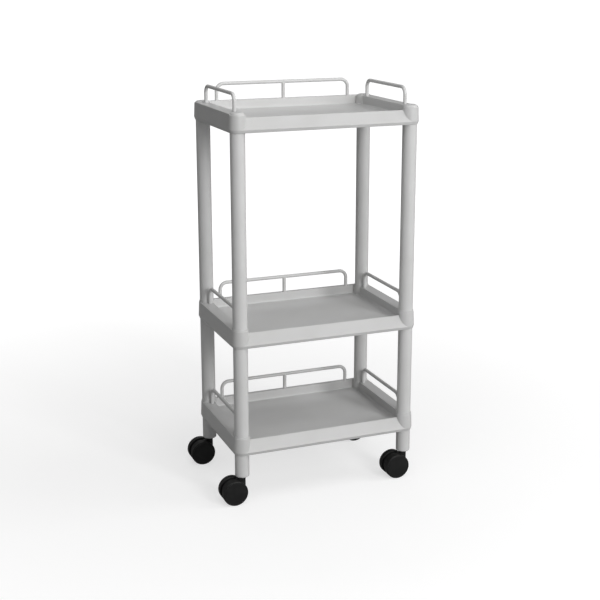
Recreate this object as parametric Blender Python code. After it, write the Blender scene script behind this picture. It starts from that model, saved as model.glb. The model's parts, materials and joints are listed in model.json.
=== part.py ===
"""Rolling salon trolley: three moulded trays on four tubular posts, with wire rails and twin-wheel castors.

Metres, +Z up. -Y is the open front, and +X runs along the trays' long side. The origin is on the floor,
under the middle of the whole trolley. Each tray is modelled in its own frame, with Z = 0 at its underside.
"""

import math

import bmesh
import bpy
from mathutils import Matrix, Vector

MM = 0.001

# Frame: the four post axes, and the height of each tray's underside above the floor.
POST_X = 173.0 * MM
POST_Y = 106.0 * MM
TRAY_Z = {"bottom": 99.0 * MM, "middle": 314.0 * MM, "top": 719.0 * MM}
GAP = 0.3 * MM
# How far a cutter runs past the face that it opens.
CLEAR = 2.0 * MM

# Tubes: posts, legs and the spigots that join them inside the trays' corner bosses.
TUBE_R = 14.0 * MM
TUBE_BORE_R = 12.5 * MM
SPIGOT_R = 12.2 * MM
SPIGOT_BORE_R = 10.4 * MM
SPIGOT_REACH = 20.0 * MM
LEG_BOTTOM_Z = 53.0 * MM
LEG_EDGE_R = 2.5 * MM
LEG_PLUG_TOP_Z = 78.0 * MM

# Tray moulding: heights above its underside.
RIM_Z = 35.0 * MM
BOSS_LIP_Z = 36.0 * MM
BOSS_CAP_Z = 37.4 * MM
BOSS_CAP_EDGE_R = 6.0 * MM
BOSS_ROOF_Z = 33.0 * MM
FRONT_RIM_Z = 27.0 * MM
SKIRT_Z = 6.0 * MM
FRONT_CHANNEL_ROOF_Z = 6.0 * MM
FLOOR_Z = 17.0 * MM
FLOOR_UNDERSIDE_Z = 14.0 * MM
CHANNEL_ROOF_Z = 31.5 * MM

# Tray moulding: how far its walls stand outside the post axes.
SKIRT_OFFSET = 17.0 * MM
UNDERSIDE_OFFSET = 14.8 * MM
RIM_OFFSET = 15.8 * MM
FRONT_RIM_OFFSET = 2.0 * MM
BOSS_LIP_R = 14.8 * MM
BOSS_WALL_R = 15.4 * MM
BOSS_UNDER_R = 17.4 * MM
WELL_X = 165.0 * MM
WELL_BACK_Y = 112.0 * MM
WELL_FRONT_Y = -105.0 * MM
WALL = 3.0 * MM
CHANNEL_HALF_LENGTH = 81.0 * MM
FRONT_CHANNEL_HALF_LENGTH = 150.0 * MM

# The well's rounded lower edge: height above the floor, then how far the wall stands in there.
WELL_EDGE = ((0.0, 3.2 * MM), (1.0 * MM, 1.1 * MM), (3.4 * MM, 0.2 * MM))
# Where the curved crease between a boss and the leaning front has a level, as shares of the front's height.
CREASE_SHARES = (0.0, 0.12, 0.35, 0.65, 1.0)

# Wire rails: rod, bend and feet. Heights are above the tray's underside.
ROD_R = 3.5 * MM
ROD_HOLE_R = 3.85 * MM
ROD_BEND_R = 15.0 * MM
ROD_FOOT_Z = 22.0 * MM
ROD_HOLE_Z = 21.6 * MM
RAIL_Z = 67.5 * MM
SIDE_RAIL_X = 171.5 * MM
SIDE_RAIL_FOOT_Y = 87.0 * MM
BACK_RAIL_Y = 116.6 * MM
BACK_RAIL_FOOT_X = 141.0 * MM
STANCHION_R = 3.4 * MM

# Castors: twin wheels that trail behind the stem towards -X.
WHEEL_R = 25.0 * MM
WHEEL_SHOULDER = 1.7 * MM
WHEEL_INNER_EDGE = 1.3 * MM
WHEEL_DOME = 0.5 * MM
WHEEL_DOME_R = 15.0 * MM
TRAIL = 19.0 * MM
HUB_GAP = 12.0 * MM
CASTOR_WIDTH = 38.0 * MM
AXLE_R = 3.0 * MM
AXLE_HALF_LENGTH = 17.0 * MM
WHEEL_BORE_R = 3.12 * MM
HOUSING_BORE_R = 3.3 * MM
WEB_HALF_WIDTH = 5.3 * MM
FENDER_R = 22.0 * MM
FENDER_ANGLES = (82.0, 190.0)
AXLE_BOSS_R = 9.0 * MM
AXLE_BOSS_ANGLES = (215.0, 325.0)
WEB_HALF_LENGTH = 5.2 * MM
WEB_BOTTOM_Z = 31.0 * MM
WEB_TOP_Z = 50.9 * MM
NECK_R = 5.6 * MM
NECK_BOTTOM_Z = 32.0 * MM
NECK_TOP_Z = 52.4 * MM
NECK_EDGE = 0.8 * MM
PIN_CHAMFER = 0.5 * MM
STEM_R = 4.0 * MM
STEM_BORE_R = 4.15 * MM
STEM_BOTTOM_Z = 37.0 * MM
STEM_TOP_Z = 85.0 * MM
SOCKET_R = 5.6 * MM
SOCKET_BORE_R = 4.3 * MM
SOCKET_TOP_Z = 77.5 * MM

# Facets.
TUBE_SIDES = 20
SPIGOT_SIDES = 12
NECK_SIDES = 16
PIN_SIDES = 12
ROD_SIDES = 8
WHEEL_SIDES = 20
CORNER_STEPS = 5
CREASE_STEPS = 4
BEND_STEPS = 4
EDGE_STEPS = 2
CAP_STEPS = 3
FENDER_STEPS = 7
AXLE_BOSS_STEPS = 4
SHARP_ANGLE = math.radians(32.0)
FLAT_ANGLE = math.radians(0.1)

# The castors reach further out at -X than the trays do at +X, so the frame is moved to centre the whole.
CENTER_X = (TRAIL + WHEEL_R - SKIRT_OFFSET) / 2.0

CORNERS = {
    "front_left": (-POST_X, -POST_Y),
    "front_right": (POST_X, -POST_Y),
    "back_left": (-POST_X, POST_Y),
    "back_right": (POST_X, POST_Y),
}

MATERIALS = {
    "grey_plastic": ((0.62, 0.62, 0.61, 1.0), 0.45, 0.0),
    "grey_tube": ((0.60, 0.60, 0.60, 1.0), 0.38, 0.0),
    "grey_wire": ((0.63, 0.63, 0.62, 1.0), 0.40, 0.2),
    "spigot_plastic": ((0.30, 0.30, 0.30, 1.0), 0.60, 0.0),
    "castor_plastic": ((0.02, 0.02, 0.02, 1.0), 0.45, 0.0),
    "steel": ((0.70, 0.70, 0.70, 1.0), 0.30, 1.0),
}


# ---------------------------------------------------------------- scene and mesh tools


def clear_scene():
    for obj in list(bpy.data.objects):
        bpy.data.objects.remove(obj, do_unlink=True)


def material(name):
    """The named finish, made the first time that it is asked for."""
    found = bpy.data.materials.get(name)
    if found:
        return found
    colour, roughness, metallic = MATERIALS[name]
    made = bpy.data.materials.new(name)
    made.use_nodes = True
    shader = made.node_tree.nodes["Principled BSDF"]
    shader.inputs["Base Color"].default_value = colour
    shader.inputs["Roughness"].default_value = roughness
    shader.inputs["Metallic"].default_value = metallic
    return made


def to_mesh(bm, name):
    """Turns a bmesh into a closed mesh with outward faces."""
    bmesh.ops.remove_doubles(bm, verts=bm.verts, dist=0.001 * MM)
    bmesh.ops.recalc_face_normals(bm, faces=bm.faces)
    bmesh.ops.connect_verts_nonplanar(bm, angle_limit=FLAT_ANGLE, faces=bm.faces)
    mesh = bpy.data.meshes.new(name)
    bm.to_mesh(mesh)
    bm.free()
    return mesh


def place(name, mesh, finish, location=(0.0, 0.0, 0.0), parent=None):
    """Adds one sub-part that shows the mesh at a place, smooth except at its real edges."""
    if not mesh.materials:
        mesh.materials.append(material(finish))
        mesh.shade_smooth()
        mesh.set_sharp_from_angle(angle=SHARP_ANGLE)
    obj = bpy.data.objects.new(name, mesh)
    obj.location = location
    obj.parent = parent
    bpy.context.scene.collection.objects.link(obj)
    return obj


def pivot(name, location):
    """An empty on a moving piece's axis."""
    empty = bpy.data.objects.new(name, None)
    empty.location = location
    empty.empty_display_size = 10.0 * MM
    bpy.context.scene.collection.objects.link(empty)
    return empty


def combined(mesh, tool, operation):
    """The mesh after an exact boolean with the tool mesh. Both inputs are used up."""
    body = bpy.data.objects.new("body", mesh)
    cutter = bpy.data.objects.new("cutter", tool)
    for obj in (body, cutter):
        bpy.context.scene.collection.objects.link(obj)
    modifier = body.modifiers.new("cut", "BOOLEAN")
    modifier.operation = operation
    modifier.solver = "EXACT"
    modifier.object = cutter
    evaluated = body.evaluated_get(bpy.context.evaluated_depsgraph_get())
    result = bpy.data.meshes.new_from_object(evaluated)
    for obj in (body, cutter):
        bpy.data.objects.remove(obj, do_unlink=True)
    bpy.data.meshes.remove(mesh)
    bpy.data.meshes.remove(tool)
    return result


def add_band(bm, lower, upper):
    """Joins two rings of the same length with a band of faces."""
    count = len(lower)
    for i in range(count):
        j = (i + 1) % count
        bm.faces.new((lower[i], lower[j], upper[j], upper[i]))


def loft(bm, rings):
    """Skins a stack of closed rings and caps both ends."""
    made = [[bm.verts.new(point) for point in ring] for ring in rings]
    for lower, upper in zip(made, made[1:]):
        add_band(bm, lower, upper)
    bm.faces.new(reversed(made[0]))
    bm.faces.new(made[-1])


def circle(radius, z, sides, centre=(0.0, 0.0), start=0.0):
    """A ring of points at one height."""
    angles = [start + 2.0 * math.pi * i / sides for i in range(sides)]
    return [(centre[0] + radius * math.cos(a), centre[1] + radius * math.sin(a), z) for a in angles]


def add_pin(bm, radius, z_low, z_high, sides, centre=(0.0, 0.0)):
    """A straight upright pin."""
    loft(bm, [circle(radius, z, sides, centre) for z in (z_low, z_high)])


def add_box(bm, low, high):
    """A box between two corners."""
    size = [b - a for a, b in zip(low, high)]
    middle = [(a + b) / 2.0 for a, b in zip(low, high)]
    bmesh.ops.create_cube(bm, size=1.0, matrix=Matrix.Translation(middle) @ Matrix.Diagonal((*size, 1.0)))


def turned_solid(profile, sides, start=0.0):
    """A solid turned about Z from (radius, height) points. The first and the last lie on the axis."""
    bm = bmesh.new()
    rings = [[bm.verts.new(p) for p in circle(r, z, sides, start=start)] for r, z in profile[1:-1]]
    for lower, upper in zip(rings, rings[1:]):
        add_band(bm, lower, upper)
    for ring, height in ((rings[0], profile[0][1]), (rings[-1], profile[-1][1])):
        pole = bm.verts.new((0.0, 0.0, height))
        for i in range(sides):
            bm.faces.new((ring[i], ring[(i + 1) % sides], pole))
    return bm


def turned_tube(name, profile, sides):
    """A hollow piece turned about Z from a closed loop of (radius, height) points."""
    bm = bmesh.new()
    rings = [[bm.verts.new(p) for p in circle(r, z, sides)] for r, z in profile]
    for lower, upper in zip(rings, rings[1:] + rings[:1]):
        add_band(bm, lower, upper)
    return to_mesh(bm, name)


def plain_tube(name, outer, inner, length, sides):
    """A straight tube that stands on Z = 0."""
    return turned_tube(name, [(outer, 0.0), (outer, length), (inner, length), (inner, 0.0)], sides)


def arc(centre, radius, start, end, steps):
    """Points along an arc, from one angle in degrees to another."""
    angles = [math.radians(start + (end - start) * i / steps) for i in range(steps + 1)]
    return [(centre[0] + radius * math.cos(a), centre[1] + radius * math.sin(a)) for a in angles]


# ---------------------------------------------------------------- trays


def skirt_offset(z):
    """How far the outer wall stands outside the post axes at a height: a chamfer, then a slight draft."""
    if z <= SKIRT_Z:
        return UNDERSIDE_OFFSET + (SKIRT_OFFSET - UNDERSIDE_OFFSET) * z / SKIRT_Z
    return SKIRT_OFFSET + (RIM_OFFSET - SKIRT_OFFSET) * (z - SKIRT_Z) / (RIM_Z - SKIRT_Z)


def front_offset(z):
    """How far the front panel stands outside the front post axes: it leans back towards its rim."""
    if z <= SKIRT_Z:
        return skirt_offset(z)
    lean = min(1.0, (z - SKIRT_Z) / (FRONT_RIM_Z - SKIRT_Z))
    return SKIRT_OFFSET + (FRONT_RIM_OFFSET - SKIRT_OFFSET) * lean


def outer_ring(z):
    """The tray's outline at a height. The front corner bosses stand out of the leaning panel."""
    offset = skirt_offset(z)
    wrap = math.degrees(math.acos(min(1.0, front_offset(z) / offset)))
    outline = arc((POST_X, POST_Y), offset, 0.0, 90.0, CORNER_STEPS)
    outline += arc((-POST_X, POST_Y), offset, 90.0, 180.0, CORNER_STEPS)
    outline += arc((-POST_X, -POST_Y), offset, 180.0, 270.0, CORNER_STEPS)
    outline += arc((-POST_X, -POST_Y), offset, 270.0, 270.0 + wrap, CREASE_STEPS)[1:]
    outline += arc((POST_X, -POST_Y), offset, 270.0 - wrap, 270.0, CREASE_STEPS)[:-1]
    outline += arc((POST_X, -POST_Y), offset, 270.0, 360.0, CORNER_STEPS)
    return [(x, y, z) for x, y in outline]


def pocket_ring(z, half_x, front_y, back_y, boss_r):
    """A rectangle whose four corners are scooped out round the post axes."""
    outline = []
    for side_x, side_y, edge_y in ((1, 1, back_y), (-1, 1, back_y), (-1, -1, front_y), (1, -1, front_y)):
        axis = (side_x * POST_X, side_y * POST_Y)
        reach_y = math.sqrt(boss_r**2 - (axis[0] - side_x * half_x) ** 2)
        to_side = (side_x * half_x, axis[1] - side_y * reach_y)
        to_edge = (axis[0] - side_x * math.sqrt(boss_r**2 - (axis[1] - edge_y) ** 2), edge_y)
        first, last = (to_side, to_edge) if side_x * side_y > 0 else (to_edge, to_side)
        begin = math.degrees(math.atan2(first[1] - axis[1], first[0] - axis[0]))
        end = math.degrees(math.atan2(last[1] - axis[1], last[0] - axis[0]))
        outline += arc(axis, boss_r, begin, begin - (begin - end) % 360.0, CORNER_STEPS)
    return [(x, y, z) for x, y in outline]


def well_cutter():
    """The pocket that holds things, with a rounded edge along its floor."""
    bm = bmesh.new()
    rings = []
    for height, inset in (*WELL_EDGE, (BOSS_CAP_Z + CLEAR - FLOOR_Z, 0.0)):
        edges = (WELL_X - inset, WELL_FRONT_Y + inset, WELL_BACK_Y - inset)
        rings.append(pocket_ring(FLOOR_Z + height, *edges, BOSS_WALL_R + inset))
    loft(bm, rings)
    return to_mesh(bm, "well")


def front_cutter():
    """Lowers the front rim between the two front bosses."""
    bm = bmesh.new()
    half = POST_X - BOSS_WALL_R
    low = (-half, -POST_Y - RIM_OFFSET, FRONT_RIM_Z)
    high = (half, WELL_FRONT_Y + CLEAR, BOSS_CAP_Z + CLEAR)
    add_box(bm, low, high)
    return to_mesh(bm, "front_notch")


def underside_cutter():
    """The hollow under the floor, open downwards, with the four bosses left standing."""
    bm = bmesh.new()
    inset = UNDERSIDE_OFFSET - WALL
    front = front_offset(FLOOR_UNDERSIDE_Z) - WALL
    outline = (POST_X + inset, -POST_Y - front, POST_Y + inset, BOSS_UNDER_R)
    loft(bm, [pocket_ring(z, *outline) for z in (-CLEAR, FLOOR_UNDERSIDE_Z)])
    return to_mesh(bm, "underside")


def channel_cutter():
    """The hollows inside the two wide side rims and behind the front skirt, open downwards."""
    bm = bmesh.new()
    front_y = -POST_Y - UNDERSIDE_OFFSET + WALL
    low = (-FRONT_CHANNEL_HALF_LENGTH, front_y, -CLEAR)
    add_box(bm, low, (FRONT_CHANNEL_HALF_LENGTH, -POST_Y, FRONT_CHANNEL_ROOF_Z))
    for side in (-1.0, 1.0):
        x_a, x_b = sorted((side * (WELL_X + WALL), side * (POST_X + RIM_OFFSET - WALL)))
        low = (x_a, -CHANNEL_HALF_LENGTH, FLOOR_UNDERSIDE_Z - CLEAR)
        add_box(bm, low, (x_b, CHANNEL_HALF_LENGTH, CHANNEL_ROOF_Z))
    return to_mesh(bm, "channels")


def rod_hole_cutter():
    """The blind holes in the rims that take the rails' feet."""
    bm = bmesh.new()
    feet = [(x, y) for x in (-SIDE_RAIL_X, SIDE_RAIL_X) for y in (-SIDE_RAIL_FOOT_Y, SIDE_RAIL_FOOT_Y)]
    feet += [(x, BACK_RAIL_Y) for x in (-BACK_RAIL_FOOT_X, 0.0, BACK_RAIL_FOOT_X)]
    for foot in feet:
        add_pin(bm, ROD_HOLE_R, ROD_HOLE_Z, RIM_Z + CLEAR, PIN_SIDES, foot)
    return to_mesh(bm, "rod_holes")


def boss_tops(capped):
    """A low lip that a post stands on, or a rounded cap where no post follows."""
    bm = bmesh.new()
    levels = [(BOSS_LIP_R, CHANNEL_ROOF_Z), (BOSS_LIP_R, BOSS_LIP_Z)]
    if capped:
        centre = (BOSS_LIP_R - BOSS_CAP_EDGE_R, BOSS_CAP_Z - BOSS_CAP_EDGE_R)
        levels = arc(centre, BOSS_CAP_EDGE_R, 0.0, 90.0, CAP_STEPS)
    for corner in CORNERS.values():
        loft(bm, [circle(r, z, TUBE_SIDES, corner) for r, z in levels])
    return to_mesh(bm, "boss_tops")


def boss_bore_cutter(capped):
    """The bores that take the spigots: through the boss, or blind under a cap."""
    bm = bmesh.new()
    top = BOSS_ROOF_Z if capped else BOSS_CAP_Z + CLEAR
    for corner in CORNERS.values():
        add_pin(bm, TUBE_BORE_R, -CLEAR, top, TUBE_SIDES, corner)
    return to_mesh(bm, "boss_bores")


def tray_mesh(capped):
    """One tray moulding: skirt, well, lowered front, hollow rims, bosses and rail holes."""
    bm = bmesh.new()
    crease_levels = [SKIRT_Z + (FRONT_RIM_Z - SKIRT_Z) * share for share in CREASE_SHARES]
    loft(bm, [outer_ring(z) for z in (0.0, *crease_levels, RIM_Z)])
    mesh = to_mesh(bm, "tray_capped" if capped else "tray_open")
    mesh = combined(mesh, boss_tops(capped), "UNION")
    for cutter in (well_cutter(), front_cutter(), underside_cutter(), channel_cutter(), rod_hole_cutter()):
        mesh = combined(mesh, cutter, "DIFFERENCE")
    return combined(mesh, boss_bore_cutter(capped), "DIFFERENCE")


def build_trays():
    open_tray = tray_mesh(capped=False)
    for level, mesh in (("bottom", open_tray), ("middle", open_tray), ("top", tray_mesh(capped=True))):
        place(f"tray_{level}", mesh, "grey_plastic", (CENTER_X, 0.0, TRAY_Z[level]))


# ---------------------------------------------------------------- rails


def hoop_path(half_span):
    """The centre line of a rail: up from one foot, round two bends and down to the other."""
    low, bar = ROD_FOOT_Z, RAIL_Z
    left_bend = arc((-half_span + ROD_BEND_R, bar - ROD_BEND_R), ROD_BEND_R, 180.0, 90.0, BEND_STEPS)
    right_bend = arc((half_span - ROD_BEND_R, bar - ROD_BEND_R), ROD_BEND_R, 90.0, 0.0, BEND_STEPS)
    return [(-half_span, low), *left_bend, *right_bend, (half_span, low)]


def add_hoop(bm, half_span):
    """A rod bent to the hoop path in the XZ plane."""
    path = [Vector((x, 0.0, z)) for x, z in hoop_path(half_span)]
    rings = []
    for i, point in enumerate(path):
        before = path[max(i - 1, 0)]
        after = path[min(i + 1, len(path) - 1)]
        along = (after - before).normalized()
        across = Vector((0.0, 1.0, 0.0))
        up = along.cross(across)
        rings.append([])
        for k in range(ROD_SIDES):
            angle = 2.0 * math.pi * (k + 0.5) / ROD_SIDES
            rings[-1].append(point + ROD_R * (math.cos(angle) * across + math.sin(angle) * up))
    loft(bm, rings)


def rail_mesh(name, half_span, stanchion=False, turned=False):
    """A rail hoop, with an upright in its middle if asked for."""
    bm = bmesh.new()
    add_hoop(bm, half_span)
    mesh = to_mesh(bm, name)
    if stanchion:
        upright = bmesh.new()
        add_pin(upright, STANCHION_R, ROD_FOOT_Z, RAIL_Z, ROD_SIDES)
        mesh = combined(mesh, to_mesh(upright, "upright"), "UNION")
    if turned:
        mesh.transform(Matrix.Rotation(math.radians(90.0), 4, "Z"))
    return mesh


def build_rails():
    side = rail_mesh("side_hoop", SIDE_RAIL_FOOT_Y, turned=True)
    back = rail_mesh("back_hoop", BACK_RAIL_FOOT_X, stanchion=True)
    for level, z in TRAY_Z.items():
        place(f"rail_left_{level}", side, "grey_wire", (CENTER_X - SIDE_RAIL_X, 0.0, z))
        place(f"rail_right_{level}", side, "grey_wire", (CENTER_X + SIDE_RAIL_X, 0.0, z))
        place(f"rail_back_{level}", back, "grey_wire", (CENTER_X, BACK_RAIL_Y, z))


# ---------------------------------------------------------------- posts, legs and spigots


def leg_mesh():
    """A short foot: a tube with a thick bottom that grips the castor's socket."""
    top = TRAY_Z["bottom"] - GAP - LEG_BOTTOM_Z
    plug = LEG_PLUG_TOP_Z - LEG_BOTTOM_Z
    socket_hole = SOCKET_R + GAP
    profile = [(TUBE_R, top), *arc((TUBE_R - LEG_EDGE_R, LEG_EDGE_R), LEG_EDGE_R, 0.0, -90.0, EDGE_STEPS)]
    profile += [(socket_hole, 0.0), (socket_hole, plug), (TUBE_BORE_R, plug), (TUBE_BORE_R, top)]
    return turned_tube("leg", profile, TUBE_SIDES)


def build_tubes():
    """Two lengths of post above each other at every corner, and a leg below."""
    leg = leg_mesh()
    spans = {}
    for name, below, above in (("lower", "bottom", "middle"), ("upper", "middle", "top")):
        z_low = TRAY_Z[below] + BOSS_LIP_Z + GAP
        length = TRAY_Z[above] - GAP - z_low
        spans[name] = (z_low, plain_tube(f"{name}_post", TUBE_R, TUBE_BORE_R, length, TUBE_SIDES))
    for corner, (x, y) in CORNERS.items():
        for name, (z_low, mesh) in spans.items():
            place(f"post_{name}_{corner}", mesh, "grey_tube", (CENTER_X + x, y, z_low))
        place(f"leg_{corner}", leg, "grey_tube", (CENTER_X + x, y, LEG_BOTTOM_Z))


def build_spigots():
    """Inner sleeves that run through each boss and into the tubes above and below it."""
    for level, tray_z in TRAY_Z.items():
        low = tray_z - SPIGOT_REACH
        high = tray_z + (BOSS_ROOF_Z - GAP if level == "top" else BOSS_LIP_Z + SPIGOT_REACH)
        mesh = plain_tube(f"{level}_spigot", SPIGOT_R, SPIGOT_BORE_R, high - low, SPIGOT_SIDES)
        for corner, (x, y) in CORNERS.items():
            place(f"spigot_{level}_{corner}", mesh, "spigot_plastic", (CENTER_X + x, y, low))


# ---------------------------------------------------------------- castors


def wheel_mesh():
    """One wheel of a pair, turned about its axle, inner face at Y = 0 and outer face towards +Y."""
    width = (CASTOR_WIDTH - HUB_GAP) / 2.0
    bore_depth = AXLE_HALF_LENGTH + GAP - HUB_GAP / 2.0
    tread_r = WHEEL_R / math.cos(math.pi / WHEEL_SIDES)
    profile = [(0.0, bore_depth), (WHEEL_BORE_R, bore_depth), (WHEEL_BORE_R, 0.0)]
    profile += [(tread_r - WHEEL_INNER_EDGE, 0.0), (tread_r, WHEEL_INNER_EDGE)]
    profile.append((tread_r, width - WHEEL_DOME - WHEEL_SHOULDER))
    profile.append((tread_r - WHEEL_SHOULDER, width - WHEEL_DOME))
    profile += [(WHEEL_DOME_R, width), (0.0, width)]
    bm = turned_solid(profile, WHEEL_SIDES, start=math.pi / WHEEL_SIDES)
    mesh = to_mesh(bm, "wheel")
    mesh.transform(Matrix.Rotation(math.radians(-90.0), 4, "X"))
    return mesh


def mirrored(mesh):
    """A copy of the mesh reflected in Y, with its faces turned the right way out."""
    bm = bmesh.new()
    bm.from_mesh(mesh)
    bmesh.ops.transform(bm, matrix=Matrix.Scale(-1.0, 4, (0.0, 1.0, 0.0)), verts=bm.verts)
    return to_mesh(bm, mesh.name + "_mirrored")


def housing_outline():
    """The castor's web seen from its side: a hood over the axle that runs up into the neck."""
    axle = (-TRAIL, WHEEL_R)
    hood = arc(axle, FENDER_R, *FENDER_ANGLES, FENDER_STEPS)
    boss = arc(axle, AXLE_BOSS_R, *AXLE_BOSS_ANGLES, AXLE_BOSS_STEPS)
    top = [(WEB_HALF_LENGTH, WEB_TOP_Z), (-WEB_HALF_LENGTH, WEB_TOP_Z)]
    return [(WEB_HALF_LENGTH, WEB_BOTTOM_Z), *top, *hood, *boss]


def housing_mesh():
    """The castor's housing, with a blind bore for the stem and a cross bore for the axle."""
    bm = bmesh.new()
    loft(bm, [[(x, y, z) for x, z in housing_outline()] for y in (-WEB_HALF_WIDTH, WEB_HALF_WIDTH)])
    mesh = to_mesh(bm, "housing")
    neck = bmesh.new()
    levels = ((NECK_R, NECK_BOTTOM_Z), (NECK_R, NECK_TOP_Z - NECK_EDGE), (NECK_R - NECK_EDGE, NECK_TOP_Z))
    loft(neck, [circle(r, z, NECK_SIDES) for r, z in levels])
    mesh = combined(mesh, to_mesh(neck, "neck"), "UNION")
    stem_bore = bmesh.new()
    add_pin(stem_bore, STEM_BORE_R, STEM_BOTTOM_Z - GAP, NECK_TOP_Z + CLEAR, NECK_SIDES)
    mesh = combined(mesh, to_mesh(stem_bore, "stem_bore"), "DIFFERENCE")
    axle_bore = bmesh.new()
    add_pin(axle_bore, HOUSING_BORE_R, -2.0 * WEB_HALF_WIDTH, 2.0 * WEB_HALF_WIDTH, PIN_SIDES)
    across = Matrix.Translation((-TRAIL, 0.0, WHEEL_R)) @ Matrix.Rotation(math.radians(90.0), 4, "X")
    bmesh.ops.transform(axle_bore, matrix=across, verts=axle_bore.verts)
    return combined(mesh, to_mesh(axle_bore, "axle_bore"), "DIFFERENCE")


def pin_mesh(name, radius, length):
    """A steel pin that stands on Z = 0, with a chamfer at each end."""
    bm = bmesh.new()
    tip = radius - PIN_CHAMFER
    levels = ((tip, 0.0), (radius, PIN_CHAMFER), (radius, length - PIN_CHAMFER), (tip, length))
    loft(bm, [circle(r, z, PIN_SIDES) for r, z in levels])
    return to_mesh(bm, name)


def axle_mesh():
    """The pin that both wheels run on, along Y about its own middle."""
    mesh = pin_mesh("axle", AXLE_R, 2.0 * AXLE_HALF_LENGTH)
    mesh.transform(Matrix.Translation((0.0, 0.0, -AXLE_HALF_LENGTH)))
    mesh.transform(Matrix.Rotation(math.radians(90.0), 4, "X"))
    return mesh


def build_castors():
    """A stem and socket in each leg, a housing that swivels on the stem, and two wheels on its axle."""
    aft_wheel = wheel_mesh()
    fore_wheel = mirrored(aft_wheel)
    housing = housing_mesh()
    axle = axle_mesh()
    stem = pin_mesh("stem", STEM_R, STEM_TOP_Z - STEM_BOTTOM_Z)
    socket_length = SOCKET_TOP_Z - LEG_BOTTOM_Z - GAP
    socket = plain_tube("socket", SOCKET_R, SOCKET_BORE_R, socket_length, SPIGOT_SIDES)
    for corner, (x, y) in CORNERS.items():
        axis_x = CENTER_X + x
        place(f"castor_stem_{corner}", stem, "steel", (axis_x, y, STEM_BOTTOM_Z))
        place(f"stem_socket_{corner}", socket, "spigot_plastic", (axis_x, y, LEG_BOTTOM_Z + GAP))
        swivel = pivot(f"castor_{corner}_swivel", (axis_x, y, 0.0))
        place(f"castor_housing_{corner}", housing, "castor_plastic", parent=swivel)
        place(f"castor_axle_{corner}", axle, "steel", (-TRAIL, 0.0, WHEEL_R), swivel)
        for side, mesh, sign in (("fore", fore_wheel, -1.0), ("aft", aft_wheel, 1.0)):
            spot = (-TRAIL, sign * HUB_GAP / 2.0, WHEEL_R)
            place(f"castor_wheel_{corner}_{side}", mesh, "castor_plastic", spot, swivel)


clear_scene()
build_trays()
build_rails()
build_tubes()
build_spigots()
build_castors()
bpy.context.view_layer.update()
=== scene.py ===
"""Looks of the rolling salon trolley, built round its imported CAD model.

Metres, +Z up. -Y is the open front. Each tray is modelled in its own frame, with Z = 0 at its underside.
"""

import json
import math

import bmesh
import bpy
from mathutils import Matrix, Vector


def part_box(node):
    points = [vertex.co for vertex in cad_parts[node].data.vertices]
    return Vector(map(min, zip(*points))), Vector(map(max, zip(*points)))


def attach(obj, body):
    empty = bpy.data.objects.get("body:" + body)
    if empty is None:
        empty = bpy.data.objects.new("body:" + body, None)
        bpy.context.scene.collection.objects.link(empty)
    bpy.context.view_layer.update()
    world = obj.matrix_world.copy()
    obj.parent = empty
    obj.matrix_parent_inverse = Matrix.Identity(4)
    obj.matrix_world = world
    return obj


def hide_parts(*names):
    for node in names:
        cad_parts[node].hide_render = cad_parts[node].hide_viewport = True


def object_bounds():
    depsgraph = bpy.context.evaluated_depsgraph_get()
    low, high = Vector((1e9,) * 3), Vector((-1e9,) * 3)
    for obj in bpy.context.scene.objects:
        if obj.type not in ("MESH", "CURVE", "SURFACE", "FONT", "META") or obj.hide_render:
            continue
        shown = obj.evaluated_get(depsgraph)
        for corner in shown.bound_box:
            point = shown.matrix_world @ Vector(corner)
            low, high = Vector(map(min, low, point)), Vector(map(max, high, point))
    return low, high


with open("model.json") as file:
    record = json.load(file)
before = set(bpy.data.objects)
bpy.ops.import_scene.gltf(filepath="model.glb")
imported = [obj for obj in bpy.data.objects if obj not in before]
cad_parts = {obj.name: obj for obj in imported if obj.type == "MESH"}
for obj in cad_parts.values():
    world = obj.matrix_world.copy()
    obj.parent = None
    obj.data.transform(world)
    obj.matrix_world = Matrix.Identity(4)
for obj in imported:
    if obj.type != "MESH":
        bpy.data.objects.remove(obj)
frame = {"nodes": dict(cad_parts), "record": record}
CAD_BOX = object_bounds()

MM = 0.001
LEVELS = ("bottom", "middle", "top")
CORNERS = ("front_left", "front_right", "back_left", "back_right")


def middle(node):
    """The centre of a CAD node's box."""
    low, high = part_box(node)
    return (low + high) / 2.0


# Frame: the post axes and the height of each tray's underside, read from the CAD.
POST = {corner: middle(f"leg_{corner}") for corner in CORNERS}
CENTRE = (POST["front_left"] + POST["back_right"]) / 2.0
POST_X = POST["back_right"].x - CENTRE.x
POST_Y = POST["back_right"].y - CENTRE.y
TRAY_Z = {level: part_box(f"tray_{level}")[0].z for level in LEVELS}
FLOOR_Z = CAD_BOX[0].z

# How far a cutter runs past the face that it opens.
CLEAR = 2.0 * MM

# Tray moulding: heights, and how far its walls stand outside the post axes.
RIM_Z = 35.0 * MM
FRONT_RIM_Z = 27.0 * MM
SKIRT_Z = 6.0 * MM
WELL_Z = 17.0 * MM
WEB_Z = 14.0 * MM
SKIRT = 17.0 * MM
FOOT = 14.8 * MM
RIM = 15.8 * MM
FRONT_RIM = 2.0 * MM
WELL_X = 165.0 * MM
WELL_BACK = 112.0 * MM
WELL_FRONT = -105.0 * MM
BOSS_WALL = 15.4 * MM
BOSS_CORE = 14.8 * MM
SEAT_Z = 36.0 * MM
SEAT_GAP = 0.25 * MM
COLLAR = 15.2 * MM
COLLAR_Z = 37.2 * MM
BOSS_ROOF_Z = 33.0 * MM
CROWN_Z = 37.4 * MM
CROWN_EDGE = 6.0 * MM
CROWN_FOOT = CROWN_Z - CROWN_EDGE
CROWN_IN = 14.6 * MM
CROWN_FADE = 22.0
CROWN_ROOT_Z = 24.0 * MM
CROWN_TIP = 0.5 * MM
CROWN_RISE = 1.1 * MM
CROWN_DOME = 0.15 * MM
WALL = 3.0 * MM

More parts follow.
